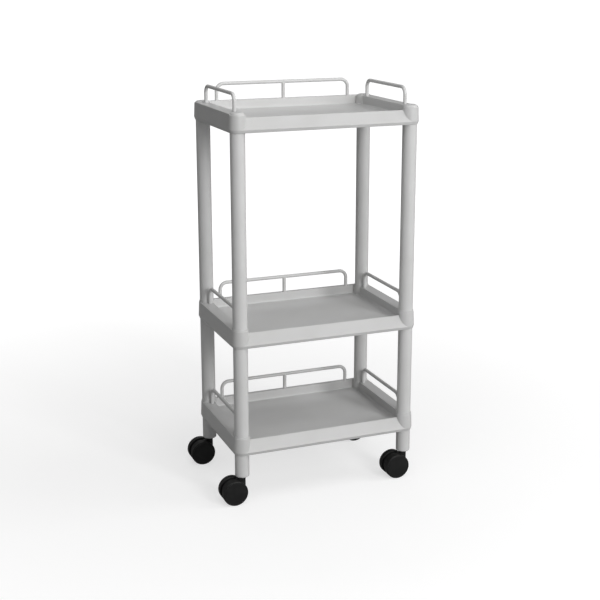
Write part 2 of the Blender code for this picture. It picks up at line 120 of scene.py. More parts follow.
# Tray moulding: rounded edges, drafts and the parts of its underside.
SKIRT_EDGE = 1.0 * MM
FOOT_EDGE = 0.9 * MM
RIM_EDGE = 1.3 * MM
FRONT_EDGE = 1.1 * MM
COLLAR_EDGE = 0.5 * MM
COLLAR_ROOT = 4.0 * MM
SEAT_BORE = 9.0 * MM
WELL_DRAFT = 0.7 * MM
WELL_FILLET = 3.6 * MM
WELL_FLAT = 7.0 * MM
WELL_LIP = 1.0 * MM
WELL_LAND = 2.5 * MM
UNDER_DRAFT = 0.5 * MM
UNDER_FILLET = 1.6 * MM
UNDER_EDGE = 0.7 * MM
UNDER_LAND = 1.5 * MM
UNDER_FLAT = 5.0 * MM
UNDER_LEAN = 4.0 * MM
BOSS_UNDER = 2.0 * MM
RIB_HALF = 1.0 * MM
RIB_Z = 8.5 * MM
RIB_SPACING = 0.36
RIB_END_X = 4.0 * MM
RIB_END_Y = 3.0 * MM
CROSS_RIBS = 5
# Where the curved crease between a boss and the leaning front has a level, as shares of the front's height.
CREASE_SHARES = (0.93, 0.8, 0.65, 0.5, 0.36, 0.24, 0.14)

# Tubes.
TUBE = 14.0 * MM
TUBE_BORE = 12.5 * MM
LEG_EDGE = 2.6 * MM
PLUG_HEIGHT = 25.0 * MM
SOCKET_HOLE = 5.9 * MM
SOCKET_CHAMFER = 0.4 * MM
TUBE_CHAMFER = 0.35 * MM

# Rails.
ROD = 3.55 * MM
ROD_HOLE = 3.85 * MM
ROD_HOLE_CHAMFER = 0.35 * MM
UPRIGHT_EXTRA = 0.15 * MM
WELD_TAPER = 0.6 * MM
WELD_DEPTH = 0.5 * MM
ROD_HOLE_Z = 21.6 * MM
ROD_FOOT_Z = 22.0 * MM
ROD_BEND = 15.0 * MM
RAIL_Z = 67.5 * MM

# Castors: the wheel.
WHEEL = 25.0 * MM
WHEEL_WIDTH = 13.0 * MM
WHEEL_HUB = (7.0 * MM, 7.6 * MM)
WHEEL_RIM = (20.6 * MM, 21.2 * MM)
WHEEL_HOLLOW = 6.0 * MM
WHEEL_HOLLOW_EDGE = 1.0 * MM
WHEEL_INNER_EDGE = 1.2 * MM
WHEEL_SHOULDER = 1.7 * MM
# The outer disc's rim step, from the tread inwards: radius, then how far it lies under the outer face.
TREAD_DROP = 0.5 * MM
RIM_STEP = ((22.4 * MM, 0.25 * MM), (22.1 * MM, 0.60 * MM), (21.7 * MM, 0.60 * MM), (21.4 * MM, 0.30 * MM))
DOME = 21.1 * MM
DOME_DROP = 0.30 * MM
DOME_STEPS = 6
WHEEL_BORE = 3.1 * MM
WHEEL_BORE_DEPTH = 11.3 * MM

# Castors: the housing. Its hood and axle boss are arcs about the axle, in degrees.
WEB_HALF = 5.3 * MM
WEB_EDGE = 0.7 * MM
WEB_INSET = 0.35 * MM
WEB_FOOT = 6.0 * MM
WEB_SHOULDER = 1.2 * MM
WEB_FLARE = (0.6 * MM, 2.0 * MM)
HOOD_ANGLES = (78.0, 200.0)
AXLE_BOSS_ANGLES = (220.0, 320.0)
FENDER = 22.0 * MM
AXLE_BOSS = 9.0 * MM
AXLE_HOLE = 3.3 * MM
NECK = 5.6 * MM
NECK_TOP = 52.4 * MM
NECK_EDGE = 0.9 * MM
NECK_FOOT = 4.0 * MM
NECK_FLAT = 2.0 * MM
STEM_HOLE = 4.15 * MM
STEM_BOTTOM = 36.7 * MM

# Facets.
TURN_SIDES = 72
WHEEL_SIDES = 96
NECK_SIDES = 48
AXLE_HOLE_SIDES = 40
HOOD_STEPS = 24
AXLE_BOSS_STEPS = 12
ROD_SIDES = 24
CORNER_STEPS = 18
CREASE_STEPS = 10
FILLET_STEPS = 5
BEND_STEPS = 14
SHARP = math.radians(32.0)


# ---------------------------------------------------------------- mesh tools


def to_mesh(bm, name):
    """Turns a bmesh into a clean closed mesh with outward faces."""
    bmesh.ops.remove_doubles(bm, verts=bm.verts, dist=0.002 * MM)
    bmesh.ops.dissolve_degenerate(bm, edges=bm.edges, dist=0.001 * MM)
    bmesh.ops.recalc_face_normals(bm, faces=bm.faces)
    mesh = bpy.data.meshes.new(name)
    bm.to_mesh(mesh)
    bm.free()
    return mesh


def combined(mesh, tool, operation):
    """The mesh after an exact boolean with the tool mesh. Both inputs are used up."""
    body = bpy.data.objects.new("body", mesh)
    cutter = bpy.data.objects.new("cutter", tool)
    for obj in (body, cutter):
        bpy.context.scene.collection.objects.link(obj)
    modifier = body.modifiers.new("cut", "BOOLEAN")
    modifier.operation = operation
    modifier.solver = "EXACT"
    modifier.object = cutter
    evaluated = body.evaluated_get(bpy.context.evaluated_depsgraph_get())
    bm = bmesh.new()
    bm.from_mesh(evaluated.to_mesh())
    name = mesh.name
    for obj in (body, cutter):
        bpy.data.objects.remove(obj, do_unlink=True)
    bpy.data.meshes.remove(mesh)
    bpy.data.meshes.remove(tool)
    return to_mesh(bm, name)


def piece(name, mesh, body, nodes, slot, location, finish=None):
    """Adds a visible piece that stands for CAD nodes, in its slot's finish unless another one is named."""
    if not mesh.materials:
        mesh.materials.append(FINISH[finish or slot])
        mesh.shade_smooth()
        mesh.set_sharp_from_angle(angle=SHARP)
    obj = bpy.data.objects.new(name, mesh)
    obj.location = location
    bpy.context.scene.collection.objects.link(obj)
    weighted = obj.modifiers.new("weighted_normals", "WEIGHTED_NORMAL")
    weighted.keep_sharp = True
    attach(obj, body)
    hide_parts(*nodes)
    return obj


def arc(centre, radius, start, end, steps):
    """Points along an arc, from one angle in degrees to another."""
    angles = [math.radians(start + (end - start) * i / steps) for i in range(steps + 1)]
    return [(centre[0] + radius * math.cos(a), centre[1] + radius * math.sin(a)) for a in angles]


def rounded(corners):
    """A path through (a, b, radius) corners, each rounded to its radius."""
    path = []
    for i, (a, b, radius) in enumerate(corners):
        here = Vector((a, b))
        if radius == 0.0:
            path.append((a, b))
            continue
        back = (Vector(corners[i - 1][:2]) - here).normalized()
        ahead = (Vector(corners[i + 1][:2]) - here).normalized()
        half = back.angle(ahead) / 2.0
        centre = here + (back + ahead).normalized() * (radius / math.sin(half))
        reach = radius / math.tan(half)
        first = here + back * reach - centre
        last = here + ahead * reach - centre
        begin = math.degrees(math.atan2(first.y, first.x))
        turn = (math.degrees(math.atan2(last.y, last.x)) - begin + 180.0) % 360.0 - 180.0
        path += arc(centre, radius, begin, begin + turn, FILLET_STEPS)
    return path


def add_band(bm, lower, upper):
    """Joins two rings of the same length with a band of faces."""
    count = len(lower)
    for i in range(count):
        j = (i + 1) % count
        bm.faces.new((lower[i], lower[j], upper[j], upper[i]))


def loft(bm, rings):
    """Skins a stack of closed rings and caps both ends."""
    made = [[bm.verts.new(point) for point in ring] for ring in rings]
    for lower, upper in zip(made, made[1:]):
        add_band(bm, lower, upper)
    bm.faces.new(reversed(made[0]))
    bm.faces.new(made[-1])


def circle(radius, z, sides, centre=(0.0, 0.0)):
    """A ring of points at one height."""
    angles = [2.0 * math.pi * i / sides for i in range(sides)]
    return [(centre[0] + radius * math.cos(a), centre[1] + radius * math.sin(a), z) for a in angles]


def turned(name, profile, sides=TURN_SIDES):
    """A piece turned about Z from (radius, height) points: hollow if the loop stays off the axis."""
    bm = bmesh.new()
    solid = profile[0][0] == 0.0
    loop = profile[1:-1] if solid else profile
    rings = [[bm.verts.new(p) for p in circle(r, z, sides)] for r, z in loop]
    for lower, upper in zip(rings, rings[1:] + ([] if solid else rings[:1])):
        add_band(bm, lower, upper)
    if solid:
        for ring, height in ((rings[0], profile[0][1]), (rings[-1], profile[-1][1])):
            pole = bm.verts.new((0.0, 0.0, height))
            for i in range(sides):
                bm.faces.new((ring[i], ring[(i + 1) % sides], pole))
    return to_mesh(bm, name)


def add_box(bm, low, high):
    """A box between two corners."""
    size = [b - a for a, b in zip(low, high)]
    centre = [(a + b) / 2.0 for a, b in zip(low, high)]
    bmesh.ops.create_cube(bm, size=1.0, matrix=Matrix.Translation(centre) @ Matrix.Diagonal((*size, 1.0)))


# ---------------------------------------------------------------- materials


class Nodes:
    """A short way to write a node tree."""

    def __init__(self, name):
        self.material = bpy.data.materials.new(name)
        self.material.use_nodes = True
        self.tree = self.material.node_tree
        self.shader = self.tree.nodes["Principled BSDF"]
        coordinates = self.add("ShaderNodeTexCoord")
        self.place = coordinates.outputs["Object"]

    def add(self, kind, **settings):
        node = self.tree.nodes.new(kind)
        for key, value in settings.items():
            setattr(node, key, value)
        return node

    def feed(self, socket, value):
        if isinstance(value, bpy.types.NodeSocket):
            self.tree.links.new(value, socket)
        else:
            socket.default_value = value

    def noise(self, scale, detail=2.0, roughness=0.5, where=None, distortion=0.0):
        node = self.add("ShaderNodeTexNoise")
        self.feed(node.inputs["Vector"], where or self.place)
        node.inputs["Scale"].default_value = scale
        node.inputs["Detail"].default_value = detail
        node.inputs["Roughness"].default_value = roughness
        node.inputs["Distortion"].default_value = distortion
        return node.outputs["Fac"]

    def stretched(self, scale):
        node = self.add("ShaderNodeMapping")
        self.feed(node.inputs["Vector"], self.place)
        node.inputs["Scale"].default_value = scale
        return node.outputs["Vector"]

    def ramp(self, value, low, high, to_low=0.0, to_high=1.0):
        """Maps a span of values to another, smoothly."""
        node = self.add("ShaderNodeMapRange", interpolation_type="SMOOTHSTEP")
        self.feed(node.inputs["Value"], value)
        spans = {"From Min": low, "From Max": high, "To Min": to_low, "To Max": to_high}
        for socket, number in spans.items():
            node.inputs[socket].default_value = number
        return node.outputs["Result"]

    def math(self, operation, a, b=0.0):
        node = self.add("ShaderNodeMath", operation=operation)
        self.feed(node.inputs[0], a)
        self.feed(node.inputs[1], b)
        return node.outputs["Value"]

    def blend(self, share, a, b):
        """A mix of two colours."""
        node = self.add("ShaderNodeMix", data_type="RGBA")
        self.feed(node.inputs["Factor"], share)
        self.feed(node.inputs["A"], a)
        self.feed(node.inputs["B"], b)
        return node.outputs["Result"]

    def bump(self, height, distance, strength=1.0, below=None):
        node = self.add("ShaderNodeBump")
        self.feed(node.inputs["Height"], height)
        node.inputs["Distance"].default_value = distance
        node.inputs["Strength"].default_value = strength
        if below is not None:
            self.feed(node.inputs["Normal"], below)
        return node.outputs["Normal"]


def grey(value, tint=0.0):
    return (value, value, value * (1.0 - tint), 1.0)


def edge_share(n, low, high):
    """How strongly a place is an outward edge, from 0 to 1."""
    geometry = n.add("ShaderNodeNewGeometry")
    return n.ramp(geometry.outputs["Pointiness"], low, high)


def moulded_plastic(name, value, roughness):
    """Light grey injection moulding: faint flow clouds, a fine satin grain and light handling scuffs."""
    n = Nodes(name)
    clouds = n.noise(9.0, 3.0, 0.55, distortion=0.4)
    colour = n.blend(n.ramp(clouds, 0.3, 0.7), grey(value * 0.975, 0.012), grey(value * 1.02, 0.004))
    specks = n.noise(900.0, 2.0)
    colour = n.blend(n.ramp(specks, 0.3, 0.75, 0.0, 0.10), colour, grey(value * 0.86))
    # Painted highlight: outward edges are mixed towards a lighter grey, standing in for the light that
    # rounded edges catch.
    edges = n.math("MULTIPLY", edge_share(n, 0.515, 0.56), 0.22)
    colour = n.blend(edges, colour, grey(value * 1.16))
    scuffs = n.noise(26.0, 6.0, 0.72, where=n.stretched((1.0, 7.0, 1.0)))
    scuff_share = n.ramp(scuffs, 0.60, 0.74)
    colour = n.blend(n.math("MULTIPLY", scuff_share, 0.05), colour, grey(value * 1.25))
    n.feed(n.shader.inputs["Base Color"], colour)
    wear = n.math("MULTIPLY", scuff_share, 0.10)
    satin = n.ramp(clouds, 0.2, 0.8, roughness - 0.04, roughness + 0.05)
    n.feed(n.shader.inputs["Roughness"], n.math("ADD", satin, wear))
    grain = n.bump(n.noise(1500.0, 3.0, 0.6), 0.02 * MM, 0.55)
    waviness = n.bump(n.noise(38.0, 1.0), 0.10 * MM, 0.25, below=grain)
    n.feed(n.shader.inputs["Normal"], waviness)
    n.shader.inputs["Specular IOR Level"].default_value = 0.42
    return n.material


def coated_tube(name, value, roughness, grain_scale):
    """Smooth grey coating on steel, with slight orange peel and fine marks along its length."""
    n = Nodes(name)
    tone = n.noise(14.0, 3.0)
    colour = n.blend(n.ramp(tone, 0.3, 0.7), grey(value * 0.97, 0.01), grey(value * 1.02, 0.004))
    marks = n.noise(60.0, 5.0, 0.7, where=n.stretched((6.0, 6.0, 0.6)))
    mark_share = n.ramp(marks, 0.62, 0.78)
    colour = n.blend(n.math("MULTIPLY", mark_share, 0.06), colour, grey(value * 0.8))
    n.feed(n.shader.inputs["Base Color"], colour)
    gloss = n.ramp(tone, 0.25, 0.75, roughness - 0.03, roughness + 0.04)
    n.feed(n.shader.inputs["Roughness"], n.math("ADD", gloss, n.math("MULTIPLY", mark_share, 0.08)))
    peel = n.bump(n.noise(grain_scale, 2.0), 0.02 * MM, 0.4)
    n.feed(n.shader.inputs["Normal"], peel)
    n.shader.inputs["Specular IOR Level"].default_value = 0.45
    return n.material


def black_nylon(name):
    """Black moulded nylon with a fine spark-eroded grain, and a painted highlight: lighter grey on outward
    edges.
    """
    n = Nodes(name)
    tone = n.noise(60.0, 4.0, 0.6)
    colour = n.blend(n.ramp(tone, 0.3, 0.7), grey(0.006), grey(0.010, 0.03))
    # Painted highlight: outward edges are mixed towards a lighter grey, standing in for the light that edges
    # catch.
    colour = n.blend(n.math("MULTIPLY", edge_share(n, 0.52, 0.60), 0.30), colour, grey(0.035))
    n.feed(n.shader.inputs["Base Color"], colour)
    n.feed(n.shader.inputs["Roughness"], n.ramp(tone, 0.25, 0.75, 0.36, 0.50))
    n.feed(n.shader.inputs["Normal"], n.bump(n.noise(2200.0, 2.0), 0.03 * MM, 0.5))
    n.shader.inputs["Specular IOR Level"].default_value = 0.32
    return n.material


def wheel_nylon(name):
    """The castor wheels' nylon, with dust and fine scratches on the tread. Its Y axis is the axle."""
    n = Nodes(name)
    flat = n.add("ShaderNodeVectorMath", operation="MULTIPLY")
    n.feed(flat.inputs[0], n.place)
    flat.inputs[1].default_value = (1.0, 0.0, 1.0)
    length = n.add("ShaderNodeVectorMath", operation="LENGTH")
    n.feed(length.inputs[0], flat.outputs["Vector"])
    tread = n.ramp(length.outputs["Value"], WHEEL - 1.2 * MM, WHEEL - 0.2 * MM)
    tone = n.noise(70.0, 5.0, 0.6)
    colour = n.blend(n.ramp(tone, 0.3, 0.7), grey(0.006), grey(0.010, 0.02))
    dust = n.math("MULTIPLY", tread, n.ramp(n.noise(180.0, 6.0, 0.7), 0.42, 0.68, 0.0, 0.55))
    colour = n.blend(dust, colour, grey(0.030, 0.10))
    n.feed(n.shader.inputs["Base Color"], colour)
    shine = n.ramp(tone, 0.25, 0.75, 0.34, 0.46)
    n.feed(n.shader.inputs["Roughness"], n.math("ADD", shine, n.math("MULTIPLY", tread, 0.18)))
    n.feed(n.shader.inputs["Normal"], n.bump(n.noise(1800.0, 2.0), 0.03 * MM, 0.5))
    n.shader.inputs["Specular IOR Level"].default_value = 0.32
    return n.material


def zinc_steel(name):
    """Zinc-plated steel with fine turning marks."""
    n = Nodes(name)
    marks = n.noise(500.0, 3.0, where=n.stretched((1.0, 1.0, 6.0)))
    n.feed(n.shader.inputs["Base Color"], n.blend(marks, grey(0.55, 0.02), grey(0.72, 0.03)))
    n.feed(n.shader.inputs["Roughness"], n.ramp(marks, 0.3, 0.7, 0.24, 0.38))
    n.feed(n.shader.inputs["Normal"], n.bump(marks, 0.01 * MM, 0.5))
    n.shader.inputs["Metallic"].default_value = 1.0
    return n.material


def dark_nylon(name):
    """The dark grey nylon of the hidden sleeves and sockets."""
    n = Nodes(name)
    tone = n.noise(120.0, 4.0)
    n.feed(n.shader.inputs["Base Color"], n.blend(tone, grey(0.20), grey(0.28, 0.02)))
    n.feed(n.shader.inputs["Roughness"], n.ramp(tone, 0.3, 0.7, 0.5, 0.65))
    n.feed(n.shader.inputs["Normal"], n.bump(n.noise(1500.0), 0.02 * MM, 0.5))
    return n.material


FINISH = {
    "grey_plastic": moulded_plastic("grey_plastic_finish", 0.60, 0.31),
    "grey_tube": coated_tube("grey_tube_finish", 0.66, 0.30, 700.0),
    "grey_wire": coated_tube("grey_wire_finish", 0.66, 0.38, 1200.0),
    "castor_plastic": black_nylon("castor_housing_finish"),
    "castor_wheel": wheel_nylon("castor_wheel_finish"),
    "spigot_plastic": dark_nylon("spigot_finish"),
    "steel": zinc_steel("zinc_steel_finish"),
}


# ---------------------------------------------------------------- trays


def skirt_offset(z):
    """How far the outer wall stands outside the post axes at a height."""
    if z <= SKIRT_Z:
        return FOOT + (SKIRT - FOOT) * z / SKIRT_Z
    return SKIRT + (RIM - SKIRT) * (z - SKIRT_Z) / (RIM_Z - SKIRT_Z)


def mirrored_ring(back_corner, front_corner):
    """A whole ring from its back right and front left corners. The other two mirror them."""
    ring = list(back_corner)
    ring += [(-x, y, z) for x, y, z in reversed(back_corner)]
    ring += list(front_corner)
    ring += [(-x, y, z) for x, y, z in reversed(front_corner)]
    return ring


def corner_arc(axis, rim, crown, start, sweep, steps, fades):
    """An arc round a post axis that follows the boss's crown and fades to the rim at the named ends."""
    points = []
    for i in range(steps + 1):
        turn = abs(sweep) * i / steps
        near = min([turn] * ("start" in fades) + [abs(sweep) - turn] * ("end" in fades) + [CROWN_FADE])
        share = near / CROWN_FADE
        share = share * share * (3.0 - 2.0 * share)
        radius, z = (a + (b - a) * share for a, b in zip(rim, crown))
        angle = math.radians(start + sweep * i / steps)
        points.append((axis[0] + radius * math.cos(angle), axis[1] + radius * math.sin(angle), z))
    return points


def outer_ring(rim, crown, front, front_z):
    """The outline at one level. Above the front rim, the front stays at its own height between the bosses."""
    back = corner_arc((POST_X, POST_Y), rim, crown, 0.0, 90.0, CORNER_STEPS, ("start", "end"))
    axis = (-POST_X, -POST_Y)
    wrap = math.degrees(math.acos(min(1.0, front / crown[0])))
    corner = corner_arc(axis, rim, crown, 180.0, 90.0, CORNER_STEPS, ("start",))
    corner += corner_arc(axis, crown, crown, 270.0, wrap, CREASE_STEPS, ())[1:]
    corner.append((corner[-1][0], corner[-1][1], front_z))
    return mirrored_ring(back, corner)


def scoop(axis, half_x, edge_y, rim, crown, steps, fades):
    """The concave arc round a boss, from the side wall to the wall along X."""
    radius = rim[0]
    side_x = math.copysign(half_x, axis[0])
    toward_y = math.copysign(1.0, axis[1])
    to_side = axis[1] - toward_y * math.sqrt(radius**2 - (axis[0] - side_x) ** 2)
    to_edge = axis[0] - math.copysign(math.sqrt(radius**2 - (axis[1] - edge_y) ** 2), axis[0])
    begin = math.degrees(math.atan2(to_side - axis[1], side_x - axis[0]))
    end = math.degrees(math.atan2(edge_y - axis[1], to_edge - axis[0]))
    return corner_arc(axis, rim, crown, begin, -((begin - end) % 360.0), steps, fades)


def pocket_ring(half_x, front_y, back_y, rim, crown, front_z):
    """A level of a pocket: a rectangle scooped out round the bosses."""
    back = scoop((POST_X, POST_Y), half_x, back_y, rim, crown, CORNER_STEPS, ("start", "end"))
    front = scoop((-POST_X, -POST_Y), half_x, front_y, rim, crown, CORNER_STEPS + CREASE_STEPS, ("start",))
    front.append((*front[-1][:2], front_z))
    return mirrored_ring(back, front)


def curve_point(a, b, c, share):
    """A point on the smooth curve from a to c that is pulled towards b."""
    keep = 1.0 - share
    return tuple(keep * keep * p + 2.0 * keep * share * q + share * share * r for p, q, r in zip(a, b, c))


def crown_edge(wall, count):
    """The small curve from a boss's wall to where the crown takes over, from the top down."""
    angles = [0.5 * math.pi * (1.0 - i / (count - 1)) for i in range(count)]
    reach = wall - CROWN_IN
    return [(CROWN_IN + reach * math.cos(a), CROWN_FOOT + CROWN_RISE * math.sin(a)) for a in angles]


def outer_rings(capped):
    """The rings of the outer wall, from the rim's edge down to the bottom edge."""
    crease_z = [SKIRT_Z + (FRONT_RIM_Z - SKIRT_Z) * share for share in CREASE_SHARES]
    lean = (SKIRT - FRONT_RIM) / (FRONT_RIM_Z - SKIRT_Z)
    panel = [(FRONT_RIM + lean * (FRONT_RIM_Z - z), z) for z in crease_z]
    low = [(FRONT_RIM, FRONT_RIM_Z, 0.0), (SKIRT, SKIRT_Z, SKIRT_EDGE)]
    low += [(FOOT, 0.0, FOOT_EDGE), (FOOT - WALL, 0.0, 0.0)]
    panel += rounded(low)[1:-1]
    foot = panel[-FILLET_STEPS - 1:]
    wall = [(skirt_offset(z), z) for _, z in panel[:-FILLET_STEPS - 1]] + foot
    rims = rounded([(RIM - WALL, RIM_Z, 0.0), (RIM, RIM_Z, RIM_EDGE), (SKIRT, SKIRT_Z, 0.0)])[1:-1]
    fronts = []
    for i in range(len(rims)):
        start = (FRONT_RIM - FRONT_EDGE, FRONT_RIM_Z)
        fronts.append(curve_point(start, (FRONT_RIM, FRONT_RIM_Z), panel[0], i / len(rims)))
    crowns = [(max(radius, CROWN_IN), z) for radius, z in rims]
    if capped:
        crowns = crown_edge(skirt_offset(CROWN_FOOT), len(rims))
    rings = []
    for rim, crown, (front, front_z) in zip(rims + wall, crowns + wall, fronts + panel):
        rings.append(outer_ring(rim, crown, min(front, crown[0]), front_z))
    return rings


def well_rings(capped):
    """The rings of the well, from the floor's middle out to the rim."""
    corners = [(WELL_FLAT, WELL_Z, 0.0), (WELL_DRAFT, WELL_Z, WELL_FILLET)]
    corners += [(0.0, RIM_Z, WELL_LIP), (-WELL_LAND, RIM_Z, 0.0)]
    path = rounded(corners)[:-1]
    wall = len(path) - FILLET_STEPS - 1
    edge_z = FRONT_RIM_Z - WELL_LIP
    start = ((RIM_Z - edge_z) * WELL_DRAFT / (RIM_Z - WELL_Z), edge_z)
    bend = (0.2 * MM, FRONT_RIM_Z)
    end = (-0.9 * MM, FRONT_RIM_Z)
    path = path[:wall] + [start] + path[wall:]
    crowns = [(BOSS_WALL + inset, z) for inset, z in path]
    if capped:
        crowns[wall + 1:] = reversed(crown_edge(BOSS_WALL, FILLET_STEPS + 1))
    rings = []
    for i, ((inset, z), crown) in enumerate(zip(path, crowns)):
        front_inset, front_z = inset, z
        if i > wall:
            share = (i - wall) / (len(path) - 1 - wall)
            front_inset, front_z = curve_point(start, bend, end, share)
        edges = (WELL_X - inset, WELL_FRONT + front_inset, WELL_BACK - inset)
        rings.append(pocket_ring(*edges, (BOSS_WALL + inset, z), crown, front_z))
    return rings


def underside_rings():
    """The rings of the hollow under the floor, from the bottom edge up and in to the middle."""
    corners = [(-UNDER_LAND, 0.0, 0.0), (0.0, 0.0, UNDER_EDGE)]
    corners += [(UNDER_DRAFT, WEB_Z, UNDER_FILLET), (UNDER_FLAT, WEB_Z, 0.0)]
    path = rounded(corners)[1:]
    inner = FOOT - WALL
    rings = []
    for inset, z in path:
        lean = UNDER_LEAN * z / WEB_Z
        front_y = -POST_Y - inner + lean + inset
        rim = (BOSS_WALL + BOSS_UNDER + inset, z)
        rings.append(pocket_ring(POST_X + inner - inset, front_y, POST_Y + inner - inset, rim, rim, z))
    return rings


def boss_tops(capped):
    """The seat that a post stands in, with its low collar, or a rounded crown on the top tray."""
    seat = TUBE + SEAT_GAP
    profile = [(COLLAR, RIM_Z - COLLAR_ROOT, 0.0), (COLLAR, COLLAR_Z, COLLAR_EDGE), (seat, COLLAR_Z, 0.0)]
    profile += [(seat, SEAT_Z, 0.0), (SEAT_BORE, SEAT_Z, 0.0)]
    if capped:
        profile = [(BOSS_CORE, CROWN_ROOT_Z, 0.0), (BOSS_CORE, CROWN_Z, CROWN_EDGE)]
        profile.append((CROWN_TIP, CROWN_Z + CROWN_DOME, 0.0))
    bm = bmesh.new()
    for corner in CORNERS:
        centre = (POST[corner].x - CENTRE.x, POST[corner].y - CENTRE.y)
        loft(bm, [circle(r, z, TURN_SIDES, centre) for r, z in rounded(profile)])
    return to_mesh(bm, "boss_tops")


def tray_holes(capped):
    """The bores for the spigots, open below, and the blind holes for the rails' feet."""
    bm = bmesh.new()
    top = BOSS_ROOF_Z if capped else COLLAR_Z + CLEAR
    for corner in CORNERS:
        centre = (POST[corner].x - CENTRE.x, POST[corner].y - CENTRE.y)
        loft(bm, [circle(TUBE_BORE, z, TURN_SIDES, centre) for z in (-CLEAR, top)])
    for x, y in rail_feet():
        rim = ROD_HOLE + ROD_HOLE_CHAMFER
        levels = [(ROD_HOLE, ROD_HOLE_Z), (ROD_HOLE, RIM_Z - ROD_HOLE_CHAMFER)]
        levels += [(rim, RIM_Z), (rim, RIM_Z + 3.0 * MM)]
        loft(bm, [circle(r, z, ROD_SIDES, (x, y)) for r, z in levels])
    return to_mesh(bm, "tray_holes")


def stiffening_ribs():
    """Thin ribs under the floor, two along it and the rest across."""
    bm = bmesh.new()
    reach_x = POST_X - BOSS_WALL - RIB_END_X
    reach_y = POST_Y - RIB_END_Y
    for y in (-RIB_SPACING * POST_Y, RIB_SPACING * POST_Y):
        add_box(bm, (-reach_x, y - RIB_HALF, RIB_Z), (reach_x, y + RIB_HALF, WEB_Z + 1.0 * MM))
    ribs = to_mesh(bm, "ribs")
    for i in range(CROSS_RIBS):
        cross = bmesh.new()
        x = (i - CROSS_RIBS // 2) * RIB_SPACING * POST_X
        add_box(cross, (x - RIB_HALF, -reach_y, RIB_Z + 0.01 * MM), (x + RIB_HALF, reach_y, WEB_Z + 1.1 * MM))
        ribs = combined(ribs, to_mesh(cross, "cross_rib"), "UNION")
    return ribs


def rail_feet():
    """Where the three rails of a tray stand, in the tray's frame: side feet, then back feet."""
    side = middle("rail_right_top") - CENTRE
    back = middle("rail_back_top") - CENTRE
    low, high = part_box("rail_right_top")
    side_foot = (high.y - low.y) / 2.0 - ROD
    low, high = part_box("rail_back_top")
    back_foot = (high.x - low.x) / 2.0 - ROD
    feet = [(x, y) for x in (-side.x, side.x) for y in (-side_foot, side_foot)]
    return feet + [(x, back.y) for x in (-back_foot, 0.0, back_foot)]


def tray_mesh(capped):
    """One tray moulding: a single skin over the rim and under the floor, then bosses, ribs and holes."""
    bm = bmesh.new()
    loft(bm, well_rings(capped) + outer_rings(capped) + underside_rings())
    mesh = to_mesh(bm, "tray_capped" if capped else "tray_open")
    mesh = combined(mesh, boss_tops(capped), "UNION")
    mesh = combined(mesh, stiffening_ribs(), "UNION")
    return combined(mesh, tray_holes(capped), "DIFFERENCE")


def build_trays():
    open_tray = tray_mesh(False)
    for level, mesh in (("bottom", open_tray), ("middle", open_tray), ("top", tray_mesh(True))):
        spot = (CENTRE.x, CENTRE.y, TRAY_Z[level])
        piece(f"{level}_tray_moulding", mesh, "frame", [f"tray_{level}"], "grey_plastic", spot)


# ---------------------------------------------------------------- rails


def hoop_mesh(name, half_span, stanchion):
    """A rod bent to a low hoop in the XZ plane, with a welded upright in its middle if asked for."""
    left = (-half_span + ROD_BEND, RAIL_Z - ROD_BEND)
    right = (half_span - ROD_BEND, RAIL_Z - ROD_BEND)
    path = [(-half_span, ROD_FOOT_Z), *arc(left, ROD_BEND, 180.0, 90.0, BEND_STEPS)]
    path += [*arc(right, ROD_BEND, 90.0, 0.0, BEND_STEPS), (half_span, ROD_FOOT_Z)]
    points = [Vector((x, 0.0, z)) for x, z in path]
    across = Vector((0.0, 1.0, 0.0))
    rings = []
    for i, point in enumerate(points):
        along = (points[min(i + 1, len(points) - 1)] - points[max(i - 1, 0)]).normalized()
        up = along.cross(across)
        angles = [2.0 * math.pi * k / ROD_SIDES for k in range(ROD_SIDES)]
        rings.append([point + ROD * (math.cos(a) * across + math.sin(a) * up) for a in angles])
    bm = bmesh.new()
    loft(bm, rings)
    mesh = to_mesh(bm, name)
    if stanchion:
        upright = bmesh.new()
        radius = ROD + UPRIGHT_EXTRA
        levels = ((radius, ROD_FOOT_Z), (radius, RAIL_Z - ROD), (ROD - WELD_TAPER, RAIL_Z - WELD_DEPTH))
        loft(upright, [circle(r, z, ROD_SIDES) for r, z in levels])
        mesh = combined(mesh, to_mesh(upright, "upright"), "UNION")
    return mesh


def build_rails():
    low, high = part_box("rail_right_top")
    side = hoop_mesh("side_hoop", (high.y - low.y) / 2.0 - ROD, False)
    side.transform(Matrix.Rotation(math.radians(90.0), 4, "Z"))
    low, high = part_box("rail_back_top")
    back = hoop_mesh("back_hoop", (high.x - low.x) / 2.0 - ROD, True)
    for level in LEVELS:
        for place, mesh in (("left", side), ("right", side), ("back", back)):
            node = f"rail_{place}_{level}"
            spot = middle(node)
            spot = (spot.x, spot.y, TRAY_Z[level])
            piece(f"{level}_{place}_rail", mesh, "frame", [node], "grey_wire", spot)


# ---------------------------------------------------------------- posts and legs


def post_mesh(name, length):
    """A straight tube with a fine chamfer at each end."""
    tip = TUBE - TUBE_CHAMFER
    profile = [(tip, 0.0), (TUBE, TUBE_CHAMFER), (TUBE, length - TUBE_CHAMFER), (tip, length)]
    profile += [(TUBE_BORE, length), (TUBE_BORE, 0.0)]
    return turned(name, profile)


def leg_mesh(length):
    """A short foot with a rounded lower edge and a hole for the castor's socket."""
    outer = rounded([(TUBE, length, 0.0), (TUBE, 0.0, LEG_EDGE), (SOCKET_HOLE + SOCKET_CHAMFER, 0.0, 0.0)])
    inner = [(SOCKET_HOLE, SOCKET_CHAMFER), (SOCKET_HOLE, PLUG_HEIGHT)]
    inner += [(TUBE_BORE, PLUG_HEIGHT), (TUBE_BORE, length)]
    return turned("leg", outer + inner)


